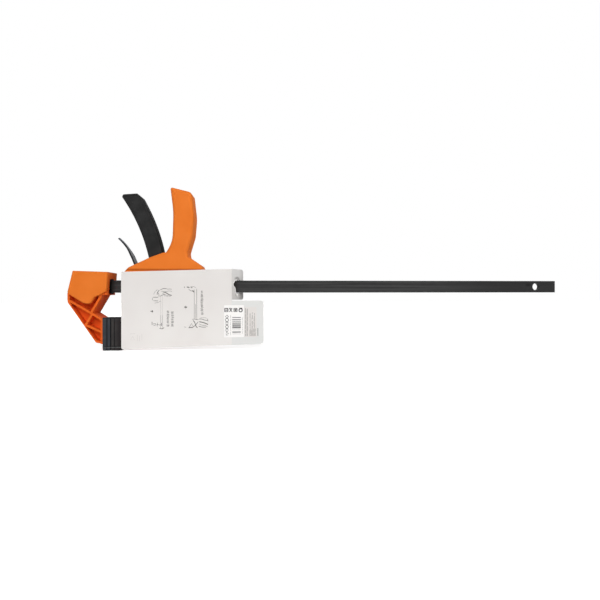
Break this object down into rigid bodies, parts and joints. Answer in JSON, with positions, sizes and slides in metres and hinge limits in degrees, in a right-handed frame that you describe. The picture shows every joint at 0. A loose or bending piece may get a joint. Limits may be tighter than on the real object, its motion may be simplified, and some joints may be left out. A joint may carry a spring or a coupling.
{
  "type": "quick release bar clamp",
  "caption": "One-handed bar clamp: a ribbed jaw on the end of a flat bar and a sliding head with pistol grip, squeeze trigger and release lever; a display card hangs on it.",
  "frame": {"origin": "centre of the fixed pad's clamping face", "axes": "+X along the bar from the fixed jaw to the free end, +Z from the pads to the bar and on to the grip, -Y towards the side that carries the card"},
  "size_m": [0.6546, 0.0336, 0.2088],
  "materials": {
    "bar": "black satin",
    "orange_plastic": "orange, fine texture",
    "pad_rubber": "dark grey, smooth",
    "black_plastic": "black satin",
    "plain_steel": "zinc plated",
    "dark_steel": "blackened",
    "card": "light grey print",
    "label": "white"
  },
  "bodies": {
    "bar_and_jaw": {"bar": "bar", "fixed_jaw": "orange_plastic", "jaw_pin": "plain_steel", "jaw_collar": "black_plastic", "fixed_pad": "pad_rubber"},
    "head": {"housing_front": "orange_plastic", "housing_rear": "orange_plastic", "moving_pad": "pad_rubber", "guide_front": "black_plastic", "guide_rear": "black_plastic", "trigger_pin": "plain_steel", "drive_spring": "plain_steel", "brake_spring": "plain_steel", "housing_screw_1": "plain_steel", "housing_screw_2": "plain_steel", "housing_screw_3": "plain_steel", "housing_screw_4": "plain_steel", "housing_screw_5": "plain_steel", "housing_screw_6": "plain_steel", "housing_screw_7": "plain_steel"},
    "trigger": {"trigger": "black_plastic"},
    "drive": {"drive_plate_1": "plain_steel", "drive_plate_2": "plain_steel"},
    "release": {"release_lever": "dark_steel"},
    "card": {"display_card": "card", "card_label": "label"}
  },
  "joints": [
    {"name": "head_slide", "type": "slide", "parent": "bar_and_jaw", "child": "head", "axis": [1, 0, 0], "range_m": [0, 0.45]},
    {"name": "trigger_squeeze", "type": "hinge", "parent": "head", "child": "trigger", "pos_m": [0.062, 0, 0.044], "axis": [0, 1, 0], "range_deg": [0, 13], "stiffness_Nm_per_rad": 1.5, "springref_deg": -11.46},
    {"name": "drive_push", "type": "slide", "parent": "head", "child": "drive", "axis": [1, 0, 0], "range_m": [0, 0.0078], "deforming": ["drive_spring"]},
    {"name": "release_press", "type": "hinge", "parent": "head", "child": "release", "pos_m": [0.0365, 0, 0.0445], "axis": [0, 1, 0], "range_deg": [0, 8], "stiffness_Nm_per_rad": 0.8, "springref_deg": -11.46, "deforming": ["brake_spring"]},
    {"name": "card_slide", "type": "slide", "parent": "head", "child": "card", "axis": [1, 0, 0], "range_m": [0, 0.45]}
  ],
  "couplings": [
    {"joint": "drive_push", "follows": "trigger_squeeze", "m_per_rad": 0.034}
  ]
}
